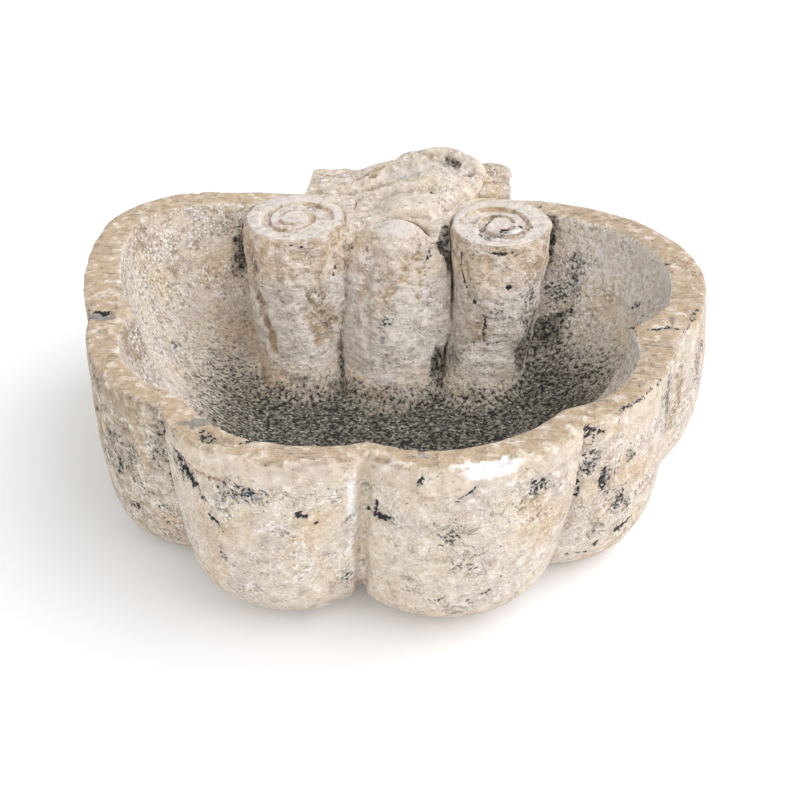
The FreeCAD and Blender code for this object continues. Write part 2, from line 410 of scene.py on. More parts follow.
class Painter:
    """Lays layers of colour and of relief over each other in the node tree of a new material."""

    def __init__(self, name: str, ground: str) -> None:
        """Starts a material.

        Args:
            name: the material's name.
            ground: the hex colour of the ground that the layers go over.
        """
        self.material = bpy.data.materials.new(name)
        self.material.use_nodes = True
        self.tree = self.material.node_tree
        self.tree.nodes.clear()
        inputs = {0: add_node(self.tree, "ShaderNodeTexCoord").outputs["Object"], "Scale": 1 / MM}
        self.place = add_node(self.tree, "ShaderNodeVectorMath", inputs, operation="SCALE").outputs[0]
        self.colour = add_node(self.tree, "ShaderNodeRGB").outputs[0]
        self.colour.default_value = linear(ground)
        self.height = add_node(self.tree, "ShaderNodeValue").outputs[0]

    def spread(self, value: bpy.types.NodeSocket, low: float, high: float) -> bpy.types.NodeSocket:
        """Returns a mask that rises smoothly from 0 at low to 1 at high. High may be the smaller one."""
        inputs = {"Value": value, "From Min": low, "From Max": high}
        return add_node(self.tree, "ShaderNodeMapRange", inputs, interpolation_type="SMOOTHSTEP").outputs[0]

    def both(self, first: bpy.types.NodeSocket, second: bpy.types.NodeSocket | float) -> bpy.types.NodeSocket:
        """Returns the mask of where both are."""
        return add_node(self.tree, "ShaderNodeMath", {0: first, 1: second}, operation="MULTIPLY").outputs[0]

    def joined(self, first: bpy.types.NodeSocket, second: bpy.types.NodeSocket | float,
               share: float = 1.0) -> bpy.types.NodeSocket:
        """Returns the first value plus a share of the second."""
        inputs = {0: second, 1: share, 2: first}
        return add_node(self.tree, "ShaderNodeMath", inputs, operation="MULTIPLY_ADD").outputs[0]

    def lumps(self, size: float, seed: float, detail: float = 2.0,
              stretch: tuple[float, float, float] = (1.0, 1.0, 1.0)) -> bpy.types.NodeSocket:
        """Makes random lumps.

        Args:
            size: how large a lump is, in millimetres.
            seed: another seed gives other lumps.
            detail: how many finer layers are added.
            stretch: how many times longer a lump is along x, y and z.

        Returns:
            The socket of their height, around 0.5.
        """
        inputs = {0: self.place, 1: tuple(1 / (size * times) for times in stretch), 2: (seed * 13.7,) * 3}
        cell = add_node(self.tree, "ShaderNodeVectorMath", inputs, operation="MULTIPLY_ADD")
        inputs = {"Vector": cell.outputs[0], "Scale": 1.0, "Detail": detail, "Roughness": 0.6}
        return add_node(self.tree, "ShaderNodeTexNoise", inputs).outputs[0]

    def grains(self, size: float) -> tuple[bpy.types.NodeSocket, bpy.types.NodeSocket]:
        """Makes crystal grains.

        Args:
            size: how large a grain is, in millimetres.

        Returns:
            A random value for each grain, and the distance from its middle.
        """
        inputs = {"Vector": self.place, "Scale": 1 / size}
        voronoi = add_node(self.tree, "ShaderNodeTexVoronoi", inputs)
        value = add_node(self.tree, "ShaderNodeSeparateColor", {0: voronoi.outputs["Color"]}).outputs[0]
        return value, voronoi.outputs["Distance"]

    def mask(self, name: str) -> bpy.types.NodeSocket:
        """Returns one of the masks that the carving stored on the points."""
        return add_node(self.tree, "ShaderNodeAttribute", attribute_name=name).outputs["Fac"]

    def frayed(self, mask: bpy.types.NodeSocket, lumps: bpy.types.NodeSocket, amount: float,
               low: float, high: float) -> bpy.types.NodeSocket:
        """Returns a mask whose border is broken up by random lumps, by an amount, and then spread again."""
        return self.spread(self.joined(mask, self.joined(lumps, -0.5), amount), low, high)

    def paint(self, colour: str, amount: bpy.types.NodeSocket, share: float = 1.0) -> None:
        """Lays a hex colour over what is there, where a mask is and as strongly as a share."""
        inputs = {0: self.both(amount, share), 6: self.colour, 7: linear(colour)}
        self.colour = add_node(self.tree, "ShaderNodeMix", inputs, data_type="RGBA").outputs[2]

    def raise_by(self, amount: bpy.types.NodeSocket, millimetres: float) -> None:
        """Raises the relief where a mask is, or sinks it by a negative height."""
        self.height = self.joined(self.height, amount, millimetres)

    def finish(self, roughness: float, gloss: float, ior: float) -> bpy.types.Material:
        """Closes the material with its shader.

        Args:
            roughness: how matt it is.
            gloss: how strongly it reflects, where 0.5 is what its index of refraction gives.
            ior: its index of refraction.

        Returns:
            The finished material.
        """
        bump = add_node(self.tree, "ShaderNodeBump", {"Height": self.height, "Distance": MM, "Strength": 1.0})
        inputs = {"Base Color": self.colour, "Roughness": roughness, "Specular IOR Level": gloss, "IOR": ior,
                  "Normal": bump.outputs[0]}
        shader = add_node(self.tree, "ShaderNodeBsdfPrincipled", inputs)
        add_node(self.tree, "ShaderNodeOutputMaterial", {"Surface": shader.outputs[0]})
        return self.material


@dataclass(frozen=True)
class Marble:
    """Coarse-grained beige marble, cut with a claw chisel and left unpolished.

    It is matt and sugary: white calcite crystals sit in a warm cream ground that iron has stained ochre in
    clouds, and mica and dirt fill its pits and hairline cracks. Sizes are millimetres.
    """

    name: str = "claw_chiselled_marble"
    ground: str = "#E1D2BE"
    ochre: str = "#CDA777"
    blush: str = "#D0C2BA"
    shade: str = "#937F6A"
    pale: str = "#F3EADD"
    crystal: str = "#FFFDF8"
    fleck: str = "#17191C"
    slate: str = "#7A7F84"
    worn: str = "#BEA688"           # rim, yellowed by weather and hands
    patina: str = "#A18C6C"         # where it was never washed
    ashen: str = "#DAD3CD"
    streak: str = "#6F675F"
    # the grime, which also stands for painted shade in crevices and gaps
    grime: str = "#69665A"
    grime_and_shade_deep: str = "#42413B"
    grime_dark: str = "#131514"
    grime_light: str = "#B9B3A3"
    rust: str = "#A4703F"
    # fresh breaks, and painted highlights and painted light
    fresh: str = "#FBF9F6"
    cloud_size: float = 42.0
    blush_size: float = 27.0
    mottle_size: float = 6.0
    worn_size: float = 9.0          # of the patches where the rim's yellow has held
    crystal_size: float = 2.0       # calcite grains of 1 to 2.5 mm
    powder_size: float = 0.9        # the finest crystals, drawn no finer than shows
    patch_size: float = 20.0        # of the places where the crystals stand out
    fleck_size: float = 1.9
    fleck_cluster: float = 24.0
    vein_size: float = 13.0
    vein_break: float = 19.0        # of the stretches in which hairline cracks show
    vein_stretch: tuple[float, float, float] = (1.0, 1.0, 1.0)
    claw_pitch: float = 1.1         # the spacing of the claw chisel's teeth
    claw_run: float = 9.0           # how many times longer its streaks are
    claw_patch: float = 16.0        # of the places where they are dark
    rasp_pitch: float = 1.6         # the spacing of the rasp's scratches
    rasp_patch: float = 7.0         # of the places where dirt has filled them
    grit_size: float = 1.2          # in the dirt
    speckle_size: float = 2.3       # the dirt's black specks
    film_size: float = 4.5          # of the places where the dirt is thick
    chip_fray: float = 2.5          # how coarsely the borders of fresh and rusty spots are torn
    stain_fray: float = 2.2         # the same for dark and slate grey spots
    ochre_share: float = 0.5
    blush_share: float = 0.55
    crystal_share: float = 0.85
    powder_share: float = 0.4
    rasp_share: float = 0.0         # level scratches of the rasp
    fleck_share: float = 0.92
    vein_share: float = 0.6
    rasp_stretch: tuple[float, float, float] = (2.6, 2.6, 1.0)
    roughness: float = 0.85
    gloss: float = 0.35             # dulled by dust and fine pits
    ior: float = 1.5                # calcite lies between 1.49 and 1.66

    def make(self) -> bpy.types.Material:
        """Builds the material: layers of colour over the ground, and the relief of the grain.

        Returns:
            The finished material.
        """
        painter = Painter(self.name, self.ground)
        masks = {name: painter.mask(name) for name in MASKS}
        self.stain(painter, masks)
        self.crystallise(painter, masks)
        self.weather(painter, masks)
        self.scar(painter, masks)
        return painter.finish(self.roughness, self.gloss, self.ior)

    def stain(self, painter: Painter, masks: dict[str, bpy.types.NodeSocket]) -> None:
        """Lays clouds of iron stain and of grey, the yellowed rim and the mottling over the ground.

        Args:
            painter: what lays the layers.
            masks: the masks that the carving stored, by name.
        """
        spread, lumps = painter.spread, painter.lumps
        painter.paint(self.ochre, spread(lumps(self.cloud_size, 1, detail=3), 0.5, 0.68), self.ochre_share)
        painter.paint(self.blush, spread(lumps(self.blush_size, 2, detail=3), 0.44, 0.6), self.blush_share)
        mottle = lumps(self.mottle_size, 3, detail=4)
        painter.paint(self.ashen, painter.frayed(masks["ashen"], mottle, 1.2, 0.1, 0.9), 0.8)
        worn = painter.both(masks["dressed"], spread(lumps(self.worn_size, 17, detail=3), 0.24, 0.52))
        painter.paint(self.worn, worn, 0.9)
        painter.paint(self.patina, painter.frayed(masks["patina"], mottle, 1.6, 0.15, 1.0), 0.8)
        painter.paint(self.shade, spread(mottle, 0.52, 0.72), 0.48)
        painter.paint(self.pale, spread(mottle, 0.48, 0.3), 0.7)
        painter.raise_by(spread(mottle, 0.8, 0.3), 1.1)
        streaks = lumps(self.claw_pitch, 5, detail=3, stretch=(self.claw_run, 1.0, self.claw_run))
        clawed = painter.both(spread(lumps(self.claw_patch, 6), 0.4, 0.6), masks["dressed"])
        painter.paint(self.pale, painter.both(spread(streaks, 0.46, 0.34), masks["dressed"]), 0.15)
        painter.paint(self.streak, painter.both(spread(streaks, 0.56, 0.66), clawed), 0.8)
        painter.raise_by(painter.both(streaks, clawed), -0.6)
        if self.rasp_share:
            rasp = lumps(self.rasp_pitch, 15, detail=5, stretch=self.rasp_stretch)
            rubbed = spread(masks["smooth"], 0.8, 0.0)
            scraped = painter.both(spread(lumps(self.rasp_patch, 16, detail=4), 0.47, 0.6), rubbed)
            painter.paint(self.shade, painter.both(spread(rasp, 0.52, 0.64), scraped), self.rasp_share)
            painter.paint(self.pale, painter.both(spread(rasp, 0.46, 0.36), rubbed), 0.6)
            painter.raise_by(painter.both(rasp, rubbed), -1.4)

    def crystallise(self, painter: Painter, masks: dict[str, bpy.types.NodeSocket]) -> None:
        """Lets white crystals and the gaps between them show, in patches and where the stone is sugary.

        Args:
            painter: what lays the layers.
            masks: the masks that the carving stored, by name.
        """
        spread, both = painter.spread, painter.both
        rough = both(spread(masks["smooth"], 1.0, 0.0), spread(masks["dressed"], 0.9, 0.0))
        powder, _ = painter.grains(self.powder_size)
        painter.paint(self.crystal, both(spread(powder, 0.82, 0.88), rough), self.powder_share)
        painter.paint(self.shade, both(spread(powder, 0.16, 0.08), rough), 0.6 * self.powder_share)
        painter.raise_by(both(powder, rough), 0.16)

        value, middle = painter.grains(self.crystal_size)
        patch = painter.joined(painter.lumps(self.patch_size, 4, detail=3), masks["sugar"], 0.3)
        where = both(spread(patch, 0.5, 0.66), rough)
        crystals = both(spread(value, 0.55, 0.61), where)
        painter.paint(self.crystal, both(crystals, spread(middle, 0.6, 0.45)), self.crystal_share)
        painter.raise_by(both(crystals, spread(middle, 0.6, 0.1)), 0.55)
        gaps = both(both(spread(value, 0.27, 0.2), spread(middle, 0.65, 0.4)), where)
        painter.paint(self.shade, gaps, 0.55)
        painter.raise_by(gaps, -0.5)

    def weather(self, painter: Painter, masks: dict[str, bpy.types.NodeSocket]) -> None:
        """Lays hairline cracks, flecks of mica, the dirt that the water has left and the shade painted into
        creases and gaps.

        Args:
            painter: what lays the layers.
            masks: the masks that the carving stored, by name.
        """
        spread, both, lumps = painter.spread, painter.both, painter.lumps
        vein = lumps(self.vein_size, 11, detail=5, stretch=self.vein_stretch)
        vein = both(spread(vein, 0.486, 0.5), spread(vein, 0.514, 0.5))
        broken = painter.joined(lumps(self.vein_break, 12, detail=3), masks["specks"], 0.15)
        vein = both(vein, spread(broken, 0.54, 0.66))
        painter.paint(self.shade, vein, self.vein_share)
        painter.raise_by(vein, -0.4)

        cluster = painter.joined(lumps(self.fleck_cluster, 7, detail=3), masks["specks"], 0.25)
        near = spread(cluster, 0.54, 0.84)
        flecks = painter.joined(lumps(self.fleck_size, 8, detail=4), near, 0.17)
        painter.paint(self.slate, both(spread(flecks, 0.54, 0.68), spread(near, 0.0, 0.5)), 0.5)
        painter.paint(self.fleck, spread(flecks, 0.7, 0.74), self.fleck_share)
        painter.raise_by(spread(flecks, 0.66, 0.76), -0.7)

        grime = masks["grime"]
        speckle = painter.joined(lumps(self.speckle_size, 9, detail=4), -0.5)
        value, _ = painter.grains(self.grit_size)
        painter.paint(self.grime, spread(painter.joined(grime, speckle, 1.6), 0.1, 0.85), 0.9)
        film = lumps(self.film_size, 13, detail=4)
        painter.paint(self.grime_and_shade_deep, painter.frayed(grime, film, 2.6, 0.55, 1.3), 0.75)
        black = painter.joined(painter.joined(speckle, grime, 0.16), value, 0.08)
        painter.paint(self.grime_light, both(spread(speckle, -0.06, -0.16), spread(grime, 0.0, 0.5)), 0.35)
        painter.paint(self.grime_dark, both(spread(black, 0.17, 0.24), spread(grime, 0.1, 0.6)), 0.94)
        painter.paint(self.grime_light, both(spread(value, 0.93, 0.96), spread(grime, 0.0, 0.5)), 0.85)

    def scar(self, painter: Painter, masks: dict[str, bpy.types.NodeSocket]) -> None:
        """Tones the chips and patches that the carving marked, and the painted shade and painted highlights,
        with ragged borders.

        Args:
            painter: what lays the layers.
            masks: the masks that the carving stored, by name.
        """
        coarse = painter.lumps(self.chip_fray, 10, detail=3)
        fine = painter.lumps(self.stain_fray, 14, detail=6)
        for name, colour, lumps, amount, low, high, share in (
            ("rust", self.rust, coarse, 1.4, 0.3, 0.9, 0.65),
            ("slate", self.slate, fine, 1.8, 0.3, 0.8, 0.75),
            ("dark", self.slate, fine, 2.8, 0.3, 0.7, 0.55),
            ("dark", self.fleck, fine, 3.4, 0.62, 0.74, 0.95),
            ("fresh", self.fresh, coarse, 1.3, 0.3, 0.8, 0.9),
        ):
            painter.paint(colour, painter.frayed(masks[name], lumps, amount, low, high), share)


@dataclass(frozen=True)
class Swell:
    """A place where the stone was left fuller, or cut back further, than its drawing.

    The middle is x, setback and z, and the reach is how far the swell spreads along each. Its middle moves to
    the right by the offset.
    """

    middle: tuple[float, float, float]
    reach: tuple[float, float, float]
    offset: float

    def apply(self, surface: Surface) -> None:
        """Moves the points of a surface."""
        share = np.prod([bell(*along) for along in zip(surface.places.T, self.middle, self.reach)], axis=0)
        surface.shift(np.outer(share * self.offset, (1.0, 0.0, 0.0)))


HAND_CUT = (
    # the sides, the right one fuller below the rim
    Swell((200, 150, 52), (110, 170, 62), 5),
    Swell((-200, 130, 52), (110, 170, 62), -2),
    # the middle groove, upright, and the groove on its right, further out
    Swell((0, 300, 112), (44, 60, 70), 3.5),
    Swell((0, 280, 0), (44, 60, 50), -3),
    Swell((104, 268, 84), (44, 56, 100), 6),
    # the rib, wider on the right and blunt at its top
    Swell((31, 84, 84), (24, 60, 56), 6.5),
    Swell((-31, 100, 56), (20, 60, 34), -2),
    Swell((-23, 66, 101), (24, 50, 32), -3),
    Swell((20, 66, 103), (22, 50, 28), 3),
)


def nearness(surface: Surface, nodes: tuple[str, ...], reach: float) -> np.ndarray:
    """Tells how close the points are to other pieces.

    Args:
        surface: the surface with the points.
        nodes: the CAD nodes of the other pieces.
        reach: how far off a piece still counts, in millimetres.

    Returns:
        1 where a point touches one of them, and less up to 0 at the reach.
    """
    value = np.zeros(len(surface.points))
    for node in nodes:
        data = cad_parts[node].data
        tree = BVHTree.FromPolygons([v.co for v in data.vertices], [p.vertices for p in data.polygons])
        low, high = (np.array(corner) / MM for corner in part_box(node))
        close = np.all((surface.points > low - reach) & (surface.points < high + reach), axis=1)
        for index in np.flatnonzero(close):
            distance = tree.find_nearest(Vector(surface.points[index] * MM), reach * MM)[3]
            if distance is not None:
                value[index] = max(value[index], 1.0 - distance / (reach * MM))
    return value


@dataclass
class StonePiece:
    """One form of the stoup: what is common to cutting and dressing all of them. Sizes are millimetres."""

    node: str
    slot: str
    finish: Marble
    facet: float                     # the size of the surface's small faces
    neighbours: tuple[str, ...] = ()  # the pieces that it runs into without an edge
    lump_heights: tuple[float, float, float] = (0.35, 0.2, 0.12)
    lump_sizes: tuple[float, float, float] = (30.0, 10.0, 3.5)
    edge: tuple[float, float] = (0.03, 0.15)     # how far an edge stands out, from hardly to fully
    edge_wear: float = 0.5
    crease: tuple[float, float] = (0.08, 0.3)    # how far a crease lies in
    crease_darkening: float = 0.6
    strokes: tuple[Stroke, ...] = ()
    marks: tuple[Mark, ...] = ()

    def build(self) -> bpy.types.Object:
        """Makes the piece and puts it in the place of its CAD node.

        Returns:
            The finished piece.
        """
        surface = self.rough_out()
        self.wear_edges(surface)
        self.carve(surface)
        for swell in HAND_CUT:
            swell.apply(surface)
        for cut in (*self.strokes, *self.marks):
            cut.cut(surface)
        self.roughen(surface)
        self.darken_creases(surface)
        surface.store()
        piece = bpy.data.objects.new(f"{self.node}_stone", surface.mesh)
        bpy.context.scene.collection.objects.link(piece)
        surface.mesh.shade_smooth()
        surface.mesh.materials.append(self.finish.make())
        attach(piece, ROOT)
        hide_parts(self.node)
        return piece

    def rough_out(self) -> Surface:
        """Cuts the CAD node's own surface into small even faces.

        Returns:
            The surface, ready to be carved.
        """
        blank = bpy.data.objects.new(f"{self.node}_blank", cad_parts[self.node].data.copy())
        bpy.context.scene.collection.objects.link(blank)
        remesh = blank.modifiers.new("facets", "REMESH")
        remesh.mode = "VOXEL"
        remesh.voxel_size = self.facet * MM
        evaluated = blank.evaluated_get(bpy.context.evaluated_depsgraph_get())
        mesh = bpy.data.meshes.new_from_object(evaluated)
        mesh.materials.clear()
        mesh.name = f"{self.node}_stone"
        bpy.data.objects.remove(blank)
        return Surface(mesh)

    def wear_edges(self, surface: Surface) -> None:
        """Rubs the sharp edges down, more in some places than others, but not where a neighbour goes on.

        Args:
            surface: the surface of the piece.
        """
        edge = ramp(surface.bulging(), *self.edge) * (1.0 - nearness(surface, self.neighbours, 4.0))
        uneven = 0.55 + 0.45 * grain(surface.points, 12.0, 21)
        surface.relax(edge * np.clip(uneven, 0.0, 1.0) * self.edge_wear, 6)

    def carve(self, surface: Surface) -> None:
        """Cuts what is special to the piece."""

    def roughen(self, surface: Surface) -> None:
        """Leaves the uneven surface of handwork."""
        height = sum(height * grain(surface.points, size, 31 + i)
                     for i, (height, size) in enumerate(zip(self.lump_heights, self.lump_sizes)))
        surface.push(height * (1.0 - 0.7 * surface.masks["smooth"]))

    def darken_creases(self, surface: Surface) -> None:
        """Darkens the creases with the grime and shade layer."""
        crease = ramp(-surface.bulging(3), *self.crease)
        surface.tone("grime", crease * self.crease_darkening * (1.0 - 0.6 * surface.masks["smooth"]))


FINGERS = ("scroll_left", "scroll_right", "centre_rib")


@dataclass
class ShellBowl(StonePiece):
    """The basin with its lobes, flat rim, hollow and floor."""

    node: str = BOWL
    slot: str = "tooled_marble"
    finish: Marble = Marble()
    facet: float = 2.2
    edge_wear: float = 0.3
    crease_darkening: float = 0.2
    neighbours: tuple[str, ...] = ("tail_block", "crest")
    middle_setback: float = 150.0    # where outward is measured from
    centre_setback: float = 120.0    # where the grooves start from
    groove_angles: tuple[float, ...] = (-69.5, -34.75, 0.0, 34.75, 69.5)
    groove_width: float = 8.0        # the sharp crease in the bottom of a groove
    groove_depth: float = 3.2
    # how much painted shade darkens each groove
    groove_shade: tuple[float, ...] = (0.4, 0.8, 0.0, 1.0, 0.5)
    band: float = 14.0               # the smooth band below the rim
    band_step: float = 0.9
    band_waver: float = 3.0
    blow_size: float = 15.0          # the chisel's blows
    blow_depth: float = 0.6
    foot_rise: float = 7.0           # how far the floor climbs the feet of the scrolls and the rib
    web_rise: float = 9.0            # how far the web climbs the rib's sides
    pool_middle: tuple[float, float] = (34.0, 156.0)     # x and setback of where the water dries last
    pool_reach: tuple[float, float] = (124.0, 92.0)
    # where each of these sets in, and where it is whole
    rim_top: tuple[float, float] = (RIM - 6.0, RIM - 2.0)
    floor: tuple[float, float] = (RIM - 30.0, RIM - 50.0)
    below_rim: tuple[float, float] = (RIM - 1.0, RIM - 12.0)
    wet: tuple[float, float] = (84.0, 34.0)
    front: tuple[float, float] = (200.0, 260.0)          # setbacks
    left: tuple[float, float] = (-85.0, -125.0)          # x
    web: tuple[float, float] = (46.0, 38.0)              # distances from the middle

    def carve(self, surface: Surface) -> None:
        """Works the rim, the outside and the hollow.

        Args:
            surface: the surface of the bowl.
        """
        places, normals = surface.places, surface.normals
        outward = places[:, :2] - np.array([0.0, self.middle_setback])
        outward /= np.linalg.norm(outward, axis=1)[:, None]
        facing = normals[:, 0] * outward[:, 0] - normals[:, 1] * outward[:, 1]
        height, up = places[:, 2], normals[:, 2]
        top = ramp(up, 0.6, 0.9) * ramp(height, *self.rim_top)
        floor = ramp(up, 0.5, 0.85) * ramp(height, *self.floor)
        inside = np.maximum(ramp(facing, 0.1, -0.15), floor) * (1.0 - top)
        outside = (1.0 - inside) * (1.0 - top)
        self.dress_outside(surface, outside)
        self.dress_inside(surface, inside)
        self.dress_rim(surface, top, outside)

    def dress_outside(self, surface: Surface, outside: np.ndarray) -> None:
        """Leaves the blows of the chisel, sharpens the grooves and paints shade along them, rubs the band
        below the rim smooth and darkens the left side.

        Args:
            surface: the surface of the bowl.
            outside: 1 where a point lies on the outside, and 0 elsewhere.
        """
        x, setback, height = surface.places.T
        blows = cells(surface.points, self.blow_size, 41)
        surface.push(-self.blow_depth * (1.0 - blows**2) * outside * ramp(height, 0.0, 8.0))
        forwards = setback - self.centre_setback
        angle, reach = np.arctan2(x, forwards), np.hypot(x, forwards)
        # painted shade along the crease of each groove, on its upper part
        for degrees, dirt_and_shade in zip(self.groove_angles, self.groove_shade):
            turn = angle - math.radians(degrees)
            aside = reach * np.sin(turn)
            crease = bell(aside, 0.0, self.groove_width / 2) * (np.cos(turn) > 0)
            surface.push(-self.groove_depth * crease * outside * ramp(height, *self.below_rim))
            shade = bell(aside, 0.0, self.groove_width * 0.6) * surface.patches(16.0, 46, -0.5, 0.4)
            surface.tone("dark", dirt_and_shade * shade * outside * ramp(height, 50.0, 70.0))
        # the band below the rim, browned along both its borders
        edge = RIM - self.band + self.band_waver * grain(surface.points, 24.0, 42)
        on_front = outside * ramp(setback, *self.front)
        band = ramp(height, edge - self.band_waver / 2, edge + self.band_waver / 2) * on_front
        surface.push(self.band_step * band)
        surface.tone("smooth", 0.95 * band)
        surface.tone("fresh", 0.12 * band)
        line = bell(height, RIM - 1.5, 3.0) * outside * surface.patches(13.0, 46, -0.6, 0.2)
        surface.tone("patina", 0.9 * line)
        seam = bell(height, edge - 1.0, 2.2) * on_front * surface.patches(18.0, 47, -0.2, 0.5)
        surface.tone("rust", 0.5 * seam)
        surface.tone("specks", 0.6 * bell(height, edge - 8.0, 10.0) * on_front * ramp(x, 60.0, -60.0))
        # the left side is darkened with specks and patina: partly its own yellower stain, partly painted
        # shade where it turns away from the key light
        shaded_left_side = outside * ramp(x, *self.left) * ramp(setback, 60.0, 150.0)
        surface.tone("specks", 0.42 * shaded_left_side)
        surface.tone("patina", shaded_left_side * (0.48 + 0.27 * ramp(height, 50.0, 110.0)))
        surface.tone("patina", shaded_left_side * 0.75 * ramp(height, RIM - 9.0, RIM - 2.0))

    def dress_inside(self, surface: Surface, inside: np.ndarray) -> None:
        """Leaves the pecked wall and floor of the hollow with the water's dirt, painted shade and painted
        light, and rounds the feet in.

        Args:
            surface: the surface of the bowl.
            inside: 1 where a point lies in the hollow, and 0 elsewhere.
        """
        blows = cells(surface.points, self.blow_size, 48)
        surface.push(-0.6 * self.blow_depth * (1.0 - blows**2) * inside)
        x, setback, height = surface.places.T
        # the stone climbs the feet of the scrolls and the rib, and the rib's sides
        near = nearness(surface, FINGERS, 12.0) * inside
        on_floor = ramp(surface.normals[:, 2], 0.3, 0.8) * ramp(height, 60.0, 45.0)
        surface.shift(np.outer(self.foot_rise * near**2 * on_floor, (0.0, 0.0, 1.0)))
        on_web = near**2 * ramp(np.abs(x), *self.web) * ramp(height, *self.below_rim)
        surface.shift(np.outer(self.web_rise * on_web * (1.0 - on_floor), (0.0, -1.0, 0.0)))
        # dirt settles where the water stood, but less on the climbing feet; a painted shadow of the front
        # wall darkens the front of the hollow together with its dirt, and painted shade darkens the crevices
        # beside the outer scrolls
        fade = grain(surface.points, 34.0, 45)
        level = ramp(height - 8.0 * fade, *self.wet)
        aside, ahead = x - self.pool_middle[0], setback - self.pool_middle[1]
        pool = np.hypot(aside / self.pool_reach[0], ahead / self.pool_reach[1])
        front_wall_shadow_and_dirt = ramp(setback, 160.0, 240.0) * ramp(height, 105.0, 60.0)
        dirt_and_shade = (level * (0.32 + 0.6 * ramp(pool + 0.2 * fade, 1.6, 0.7)) + 0.5 * front_wall_shadow_and_dirt) * inside
        skirt = near * on_floor * ramp(x, 100.0, 60.0)
        outer_side = ramp(np.abs(x), 60.0, 90.0)
        crevice_shade = np.clip(near - 0.3, 0.0, 1.0) * (1.0 - on_floor) * ramp(height, 45.0, 60.0) * outer_side
        surface.tone("grime", np.maximum(dirt_and_shade * (1.0 - 0.6 * skirt), 1.2 * crevice_shade))
        sugary = surface.patches(22.0, 58, -0.5, 0.5) * (1.0 - near)
        surface.tone("sugar", 0.9 * inside * ramp(height, 50.0, 75.0) * sugary)
        stained = surface.patches(30.0, 50, -0.1, 0.6) * ramp(height, 45.0, 80.0)
        surface.tone("patina", inside * (0.28 + 0.37 * ramp(x, 60.0, -100.0)) * stained)
        surface.tone("patina", 0.6 * near * inside * (1.0 - on_floor))
        # painted light on the right wall of the hollow, which faces away from the key light
        surface.tone("fresh", 0.5 * inside * ramp(x, 84.0, 124.0) * ramp(height, 60.0, 90.0))

    def dress_rim(self, surface: Surface, top: np.ndarray, outside: np.ndarray) -> None:
        """Leaves the rim uneven from the claw chisel, and browns its outer edge.

        Args:
            surface: the surface of the bowl.
            top: 1 where a point lies on the rim, and 0 elsewhere.
            outside: 1 where it lies on the outside, and 0 elsewhere.
        """
        uneven = 0.7 * grain(surface.points, 34.0, 43) + 0.2 * grain(surface.points, (24.0, 6.0, 24.0), 44)
        surface.shift(np.outer(top * (uneven - 0.3), (0.0, 0.0, 1.0)))
        height = surface.places[:, 2]
        near_block = nearness(surface, self.neighbours, 30.0)
        surface.tone("dressed", top * (1.0 - near_block) + 0.12 * outside * ramp(height, 90.0, 112.0))
        edge = ramp(surface.bulging(1), 0.04, 0.14) * ramp(height, RIM - 7.0, RIM - 3.0)
        surface.tone("rust", 0.45 * edge * surface.patches(14.0, 49, -0.2, 0.6))


@dataclass
class Scroll(StonePiece):
    """One of the two scrolls beside the rib, or the rib itself."""

    slot: str = "rubbed_marble"
    finish: Marble = Marble(name="rubbed_marble", ground="#E8D6C0", patina="#B5956C", blush_share=0.6,
                            crystal_share=0.4, powder_share=0.15, rasp_share=0.7, vein_size=7.0,
                            vein_stretch=(1.5, 1.5, 1.0), vein_share=0.9)
    facet: float = 1.0
    crease_darkening: float = 0.12
    flare: float = 5.0               # how far the foot spreads where it meets the floor
    foot: tuple[float, float] = (54.0, 28.0)     # the heights where the spread starts and where it is whole
    rasp: tuple[float, float, float] = (8.0, 8.0, 2.4)   # the strokes' size along x, y and z
    patina: float = 0.5              # how much of it the upper part has
    spread: tuple[float, float] = (0.0, 0.0)     # how far it widens towards its neighbours, left and right
    wear: float = 0.1                # how far the volute is rubbed down

    def carve(self, surface: Surface) -> None:
        """Leaves the strokes of the rasp on the sides, and spreads the foot into the floor.

        Args:
            surface: the surface of the scroll or the rib.
        """
        height = surface.places[:, 2]
        top = ramp(surface.normals[:, 2], 0.75, 0.95) * ramp(height, RIM - 6.0, RIM - 1.0)
        rasp = (0.4 * grain(surface.points, self.rasp, 51) + 1.5 * grain(surface.points, 20.0, 52)
                + 0.75 * grain(surface.points, 8.0, 57))
        surface.push(rasp * (1.0 - top) + self.flare * ramp(height, *self.foot)**2)
        surface.relax(self.wear * top, 14)
        root = ramp(nearness(surface, (BOWL,), 18.0), 0.0, 0.8) * ramp(height, RIM - 4.0, RIM - 22.0)
        right = surface.normals[:, 0]
        wider = self.spread[1] * np.maximum(right, 0.0) - self.spread[0] * np.maximum(-right, 0.0)
        surface.shift(np.outer(root * wider, (1.0, 0.0, 0.0)))
        surface.tone("smooth", 0.8 * top)
        wavering = height + 8.0 * grain(surface.points, 15.0, 54)
        surface.tone("patina", self.patina * (1.0 - top) * ramp(wavering, 82.0, 104.0))
        surface.tone("ashen", 0.75 * ramp(height, 104.0, 88.0) * ramp(height, 40.0, 55.0))
        surface.tone("ashen", 0.7 * top)
        surface.tone("grime", 0.6 * ramp(height + 5.0 * grain(surface.points, 9.0, 53), 50.0, 32.0))
        # painted shade in the crevice where the outer scrolls meet the wall
        crevice_shade_beside_wall = nearness(surface, (BOWL,), 4.0) * ramp(np.abs(surface.places[:, 0]), 60.0, 80.0)
        surface.tone("grime", 0.8 * crevice_shade_beside_wall * ramp(height, RIM, RIM - 8.0) * ramp(height, 45.0, 60.0))


@dataclass
class CentreRib(Scroll):
    """The domed rib between the scrolls."""

    node: str = "centre_rib"
    patina: float = 0.2
    spread: tuple[float, float] = (3.8, 5.0)


